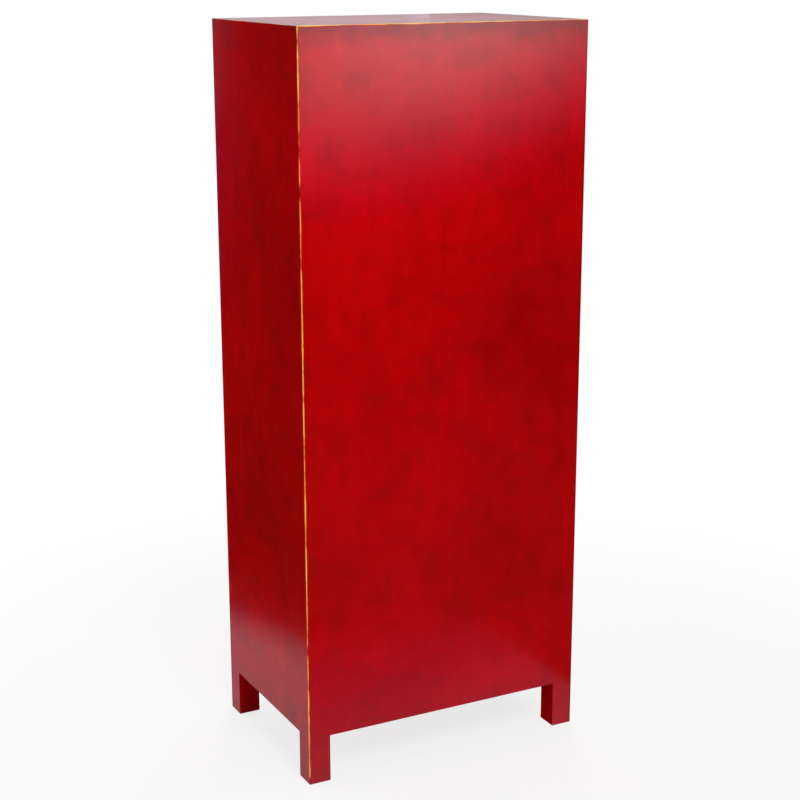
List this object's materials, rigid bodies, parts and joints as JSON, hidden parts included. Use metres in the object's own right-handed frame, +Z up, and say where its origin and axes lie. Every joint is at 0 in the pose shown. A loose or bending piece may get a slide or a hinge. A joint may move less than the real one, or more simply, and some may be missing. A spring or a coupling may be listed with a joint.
{
  "type": "tall lacquered wedding cabinet",
  "caption": "Tall red lacquered cabinet on square legs, with pivoted doors over side-by-side drawers, an inner shelf and a round brass lock plate with a sliding pin.",
  "frame": {"origin": "on the floor, under the middle of the cabinet with its hardware", "axes": "+Z up, -Y the front with the doors and drawers, +Y the back, +X to the right of someone facing the doors"},
  "size_m": [0.75, 0.5206, 1.8],
  "materials": {
    "red_lacquer": "semi-gloss red lacquer, rubbed through to gold along the edges",
    "dark_stain": "dark brown stain, satin",
    "bare_wood": "planed elm, unfinished",
    "aged_brass": "aged brass, brushed and rubbed bright on the raised parts"
  },
  "bodies": {
    "carcass": {"front_left_post": "red_lacquer", "front_right_post": "red_lacquer", "back_left_post": "red_lacquer", "back_right_post": "red_lacquer", "top_board": "red_lacquer", "left_side_panel": "red_lacquer", "right_side_panel": "red_lacquer", "back_panel": "red_lacquer", "front_top_rail": "red_lacquer", "front_middle_rail": "red_lacquer", "front_bottom_rail": "red_lacquer", "back_top_rail": "dark_stain", "back_middle_rail": "dark_stain", "back_bottom_rail": "dark_stain", "left_top_rail": "dark_stain", "left_bottom_rail": "dark_stain", "left_shelf_cleat": "dark_stain", "right_top_rail": "dark_stain", "right_bottom_rail": "dark_stain", "right_shelf_cleat": "dark_stain", "dust_board": "bare_wood", "compartment_floor": "dark_stain", "shelf": "dark_stain", "door_stop": "dark_stain", "drawer_stile": "red_lacquer", "drawer_guide": "bare_wood", "left_drawer_runner": "bare_wood", "centre_drawer_runner": "bare_wood", "right_drawer_runner": "bare_wood"},
    "left_door": {"left_door_hinge_stile": "red_lacquer", "left_door_meeting_stile": "red_lacquer", "left_door_top_rail": "red_lacquer", "left_door_bottom_rail": "red_lacquer", "left_door_panel": "red_lacquer", "left_lock_plate": "aged_brass", "left_lock_lugs": "aged_brass"},
    "right_door": {"right_door_hinge_stile": "red_lacquer", "right_door_meeting_stile": "red_lacquer", "right_door_top_rail": "red_lacquer", "right_door_bottom_rail": "red_lacquer", "right_door_panel": "red_lacquer", "right_lock_plate": "aged_brass", "right_lock_lug": "aged_brass"},
    "lock_pin": {"lock_pin": "aged_brass"},
    "left_drawer": {"left_drawer_front": "red_lacquer", "left_drawer_inner_side": "bare_wood", "left_drawer_outer_side": "bare_wood", "left_drawer_back": "bare_wood", "left_drawer_bottom": "bare_wood", "left_pull_plate": "aged_brass", "left_pull_eyelet": "aged_brass"},
    "right_drawer": {"right_drawer_front": "red_lacquer", "right_drawer_inner_side": "bare_wood", "right_drawer_outer_side": "bare_wood", "right_drawer_back": "bare_wood", "right_drawer_bottom": "bare_wood", "right_pull_plate": "aged_brass", "right_pull_eyelet": "aged_brass"},
    "left_pull_ring": {"left_pull_ring": "aged_brass"},
    "right_pull_ring": {"right_pull_ring": "aged_brass"}
  },
  "joints": [
    {"name": "left_door_hinge", "type": "hinge", "parent": "carcass", "child": "left_door", "pos_m": [-0.3065, -0.22575, 1.059], "axis": [0, 0, -1], "range_deg": [0, 95]},
    {"name": "right_door_hinge", "type": "hinge", "parent": "carcass", "child": "right_door", "pos_m": [0.3065, -0.22575, 1.059], "axis": [0, 0, 1], "range_deg": [0, 95]},
    {"name": "lock_pin_slide", "type": "slide", "parent": "left_door", "child": "lock_pin", "axis": [1, 0, 0], "range_m": [0, 0.0345]},
    {"name": "left_drawer_slide", "type": "slide", "parent": "carcass", "child": "left_drawer", "axis": [0, -1, 0], "range_m": [0, 0.32]},
    {"name": "right_drawer_slide", "type": "slide", "parent": "carcass", "child": "right_drawer", "axis": [0, -1, 0], "range_m": [0, 0.32]},
    {"name": "left_pull_ring_swing", "type": "hinge", "parent": "left_drawer", "child": "left_pull_ring", "pos_m": [-0.167, -0.24925, 0.255], "axis": [-1, 0, 0], "range_deg": [0, 160]},
    {"name": "right_pull_ring_swing", "type": "hinge", "parent": "right_drawer", "child": "right_pull_ring", "pos_m": [0.167, -0.24925, 0.255], "axis": [-1, 0, 0], "range_deg": [0, 160]}
  ]
}
